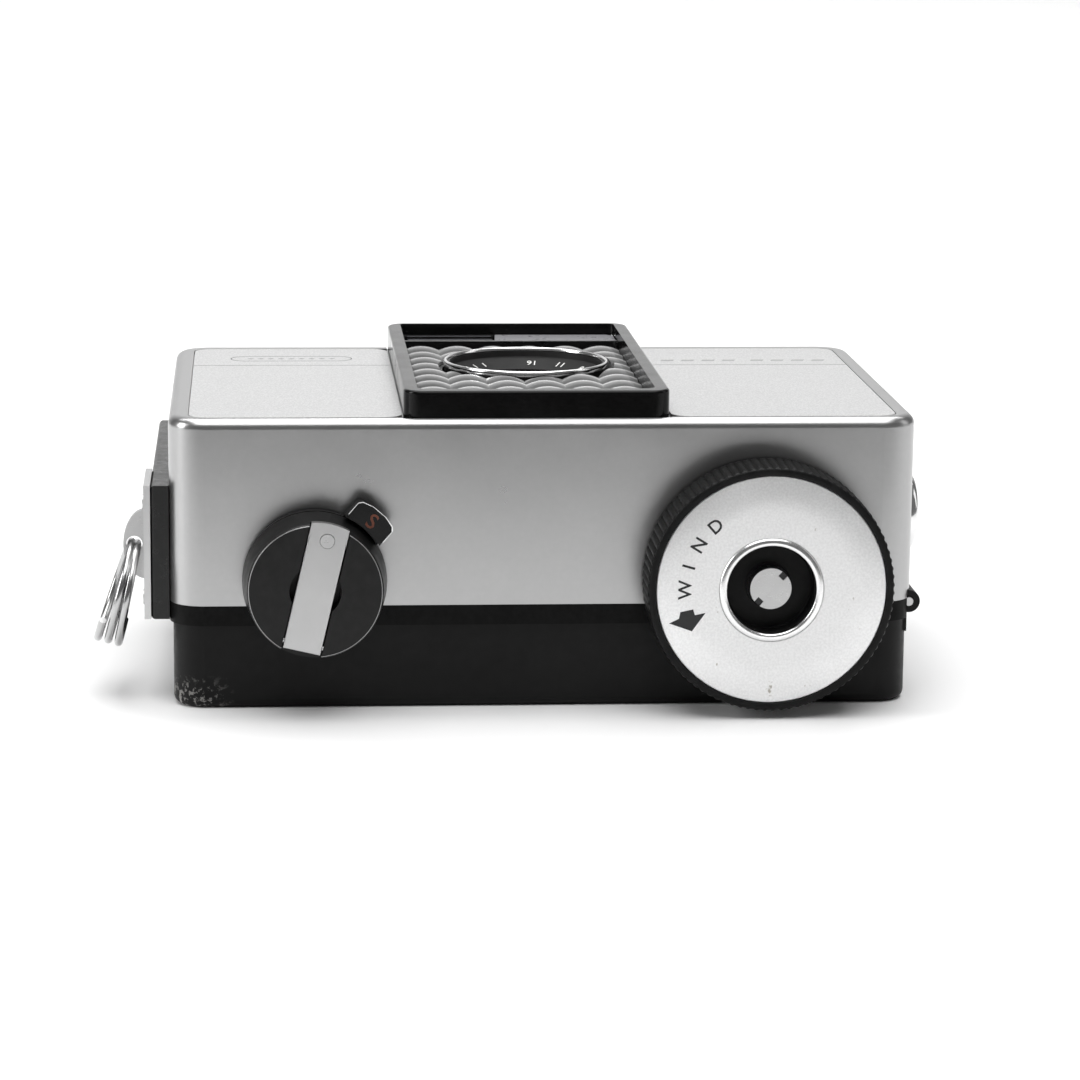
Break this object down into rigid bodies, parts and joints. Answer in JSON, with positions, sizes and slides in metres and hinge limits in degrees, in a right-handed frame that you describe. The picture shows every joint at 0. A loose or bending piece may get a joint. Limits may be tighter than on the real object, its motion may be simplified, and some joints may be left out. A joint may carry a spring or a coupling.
{
  "type": "half-frame camera",
  "caption": "Compact half-frame film camera with clockwork film advance, rewind crank, meter window round the lens and a hinged back cover.",
  "frame": {"origin": "centre of the back cover's flat outer face", "axes": "+Z is the lens axis, out of the front; +X along the width, away from the strap ring; +Y towards the camera's top, away from the wind knob"},
  "size_m": [0.0947, 0.0633, 0.0364],
  "materials": {
    "bezel_plastic": "polished moulded",
    "black_anodised": "satin black",
    "black_band": "semi gloss",
    "black_plastic": "fine satin moulded, worn corners",
    "brass_gear": "machined",
    "chrome_ring": "polished",
    "clear_bubble": "moulded bubble lens",
    "clear_glass": "polished",
    "coated_glass": "coated, purple",
    "counter_white": "matte white",
    "face_aluminium": "fine sandblasted satin",
    "foam": "felt strip",
    "inner_black": "matte black",
    "knob_face": "matte spun",
    "lever_black": "gloss, letter filled orange",
    "satin_aluminium": "satin, fine brushed",
    "selenium": "dark grey cell",
    "spring_steel": "blued",
    "steel": "ground"
  },
  "bodies": {
    "camera_body": {"front_housing": "satin_aluminium", "film_chassis": "black_band", "left_face_plate": "face_aluminium", "right_face_plate": "face_aluminium", "lens_bezel": "bezel_plastic", "selenium_window": "clear_bubble", "selenium_cell": "selenium", "lens_collar": "black_anodised", "viewfinder_window": "clear_glass", "viewfinder_tube": "inner_black", "viewfinder_lens": "clear_glass", "galvanometer": "inner_black", "shutter_housing": "inner_black", "lens_barrel": "black_anodised", "front_lens": "coated_glass", "rear_lens": "coated_glass", "counter_window": "clear_glass", "side_panel": "black_plastic", "lug_plate": "steel", "strap_lug": "steel", "lug_rivets": "steel", "sync_socket": "chrome_ring", "sync_pin": "brass_gear", "button_collar": "chrome_ring", "button_spring": "spring_steel", "chassis_screws": "steel", "hinge_pin": "steel"},
    "back_cover": {"back_cover": "black_plastic", "eyepiece_window": "clear_glass", "light_seal": "foam", "pressure_spring": "spring_steel"},
    "pressure_plate": {"pressure_plate": "inner_black"},
    "wind_knob": {"wind_knob_ring": "black_anodised", "wind_knob_disc": "knob_face", "wind_knob_screw": "chrome_ring", "wind_arbor": "steel", "ratchet_wheel": "steel"},
    "ratchet_pawl": {"ratchet_pawl": "steel"},
    "take_up": {"spring_barrel": "inner_black", "barrel_cap": "steel", "mainspring": "spring_steel", "barrel_gear": "brass_gear"},
    "sprocket": {"film_sprocket": "inner_black", "sprocket_gear": "brass_gear"},
    "frame_counter": {"frame_counter_disc": "counter_white"},
    "rewind_knob": {"rewind_knob": "black_anodised", "rewind_shaft": "steel", "crank_hinge_pin": "steel"},
    "rewind_crank": {"rewind_crank": "satin_aluminium"},
    "crank_stud": {"crank_stud": "steel"},
    "lock_lever": {"back_lock_lever": "lever_black"},
    "latch_slide": {"latch_slide": "steel"},
    "shutter_button": {"shutter_button": "chrome_ring"},
    "aperture_ring": {"lens_ring": "chrome_ring", "aperture_scale": "black_anodised"},
    "shutter_blade_a": {"shutter_blade_a": "inner_black"},
    "shutter_blade_b": {"shutter_blade_b": "inner_black"},
    "meter_needle": {"meter_needle": "steel"},
    "split_ring": {"split_ring": "chrome_ring"}
  },
  "joints": [
    {"name": "back_cover_open", "type": "hinge", "parent": "camera_body", "child": "back_cover", "pos_m": [0.0423, 0, 0.0115], "axis": [0, -1, 0], "range_deg": [0, 110]},
    {"name": "pressure_plate_press", "type": "slide", "parent": "back_cover", "child": "pressure_plate", "axis": [0, 0, 1], "range_m": [-0.00015, 0.00025], "stiffness_N_per_m": 300},
    {"name": "wind_knob_turn", "type": "hinge", "parent": "camera_body", "child": "wind_knob", "pos_m": [0.025, -0.03, 0.015], "axis": [0, 1, 0], "continuous": true},
    {"name": "ratchet_pawl_swing", "type": "hinge", "parent": "camera_body", "child": "ratchet_pawl", "pos_m": [0.017, -0.025, 0.02], "axis": [0, 1, 0], "range_deg": [-12, 12], "stiffness_Nm_per_rad": 0.0005},
    {"name": "take_up_turn", "type": "hinge", "parent": "camera_body", "child": "take_up", "pos_m": [0.025, 0.002, 0.015], "axis": [0, 1, 0], "continuous": true},
    {"name": "sprocket_turn", "type": "hinge", "parent": "camera_body", "child": "sprocket", "pos_m": [0.01359, 0.005, 0.0099], "axis": [0, 1, 0], "continuous": true},
    {"name": "frame_counter_turn", "type": "hinge", "parent": "camera_body", "child": "frame_counter", "pos_m": [0.0175, 0.0256, 0.022], "axis": [0, 1, 0], "continuous": true},
    {"name": "rewind_knob_turn", "type": "hinge", "parent": "camera_body", "child": "rewind_knob", "pos_m": [-0.0261, -0.032, 0.0151], "axis": [0, 1, 0], "continuous": true},
    {"name": "rewind_crank_fold", "type": "hinge", "parent": "rewind_knob", "child": "rewind_crank", "pos_m": [-0.02749, -0.03395, 0.00906], "axis": [0.9744, 0, -0.225], "range_deg": [0, 170]},
    {"name": "crank_stud_spin", "type": "hinge", "parent": "rewind_crank", "child": "crank_stud", "pos_m": [-0.02477, -0.033, 0.02085], "axis": [0, 1, 0], "continuous": true},
    {"name": "back_lock_turn", "type": "hinge", "parent": "camera_body", "child": "lock_lever", "pos_m": [-0.0261, -0.0285, 0.0151], "axis": [0, 1, 0], "range_deg": [-75, 0]},
    {"name": "latch_draw", "type": "slide", "parent": "camera_body", "child": "latch_slide", "axis": [1, 0, 0], "range_m": [0, 0.0015]},
    {"name": "shutter_button_press", "type": "slide", "parent": "camera_body", "child": "shutter_button", "axis": [0, 1, 0], "range_m": [-0.0018, 0], "stiffness_N_per_m": 300},
    {"name": "aperture_ring_turn", "type": "hinge", "parent": "camera_body", "child": "aperture_ring", "pos_m": [0, 0.0049, 0.034], "axis": [0, 0, 1], "range_deg": [-60, 120]},
    {"name": "blade_a_swing", "type": "hinge", "parent": "camera_body", "child": "shutter_blade_a", "pos_m": [-0.0093, 0.0049, 0.0255], "axis": [0, 0, 1], "range_deg": [0, 50]},
    {"name": "blade_b_swing", "type": "hinge", "parent": "camera_body", "child": "shutter_blade_b", "pos_m": [0.0093, 0.0049, 0.0263], "axis": [0, 0, 1], "range_deg": [0, 50]},
    {"name": "meter_needle_swing", "type": "hinge", "parent": "camera_body", "child": "meter_needle", "pos_m": [-0.004, -0.0162, 0.0265], "axis": [0, 0, 1], "range_deg": [-20, 20]},
    {"name": "split_ring_swing", "type": "hinge", "parent": "camera_body", "child": "split_ring", "pos_m": [-0.0466, -0.0185, 0.0175], "axis": [0, 1, 0], "range_deg": [-14, 150]}
  ],
  "couplings": [
    {"joint": "sprocket_turn", "follows": "take_up_turn", "ratio": -2.5714},
    {"joint": "frame_counter_turn", "follows": "take_up_turn", "ratio": 0.096429},
    {"joint": "latch_draw", "follows": "back_lock_turn", "m_per_rad": -0.00114},
    {"joint": "blade_b_swing", "follows": "blade_a_swing", "ratio": 1}
  ]
}
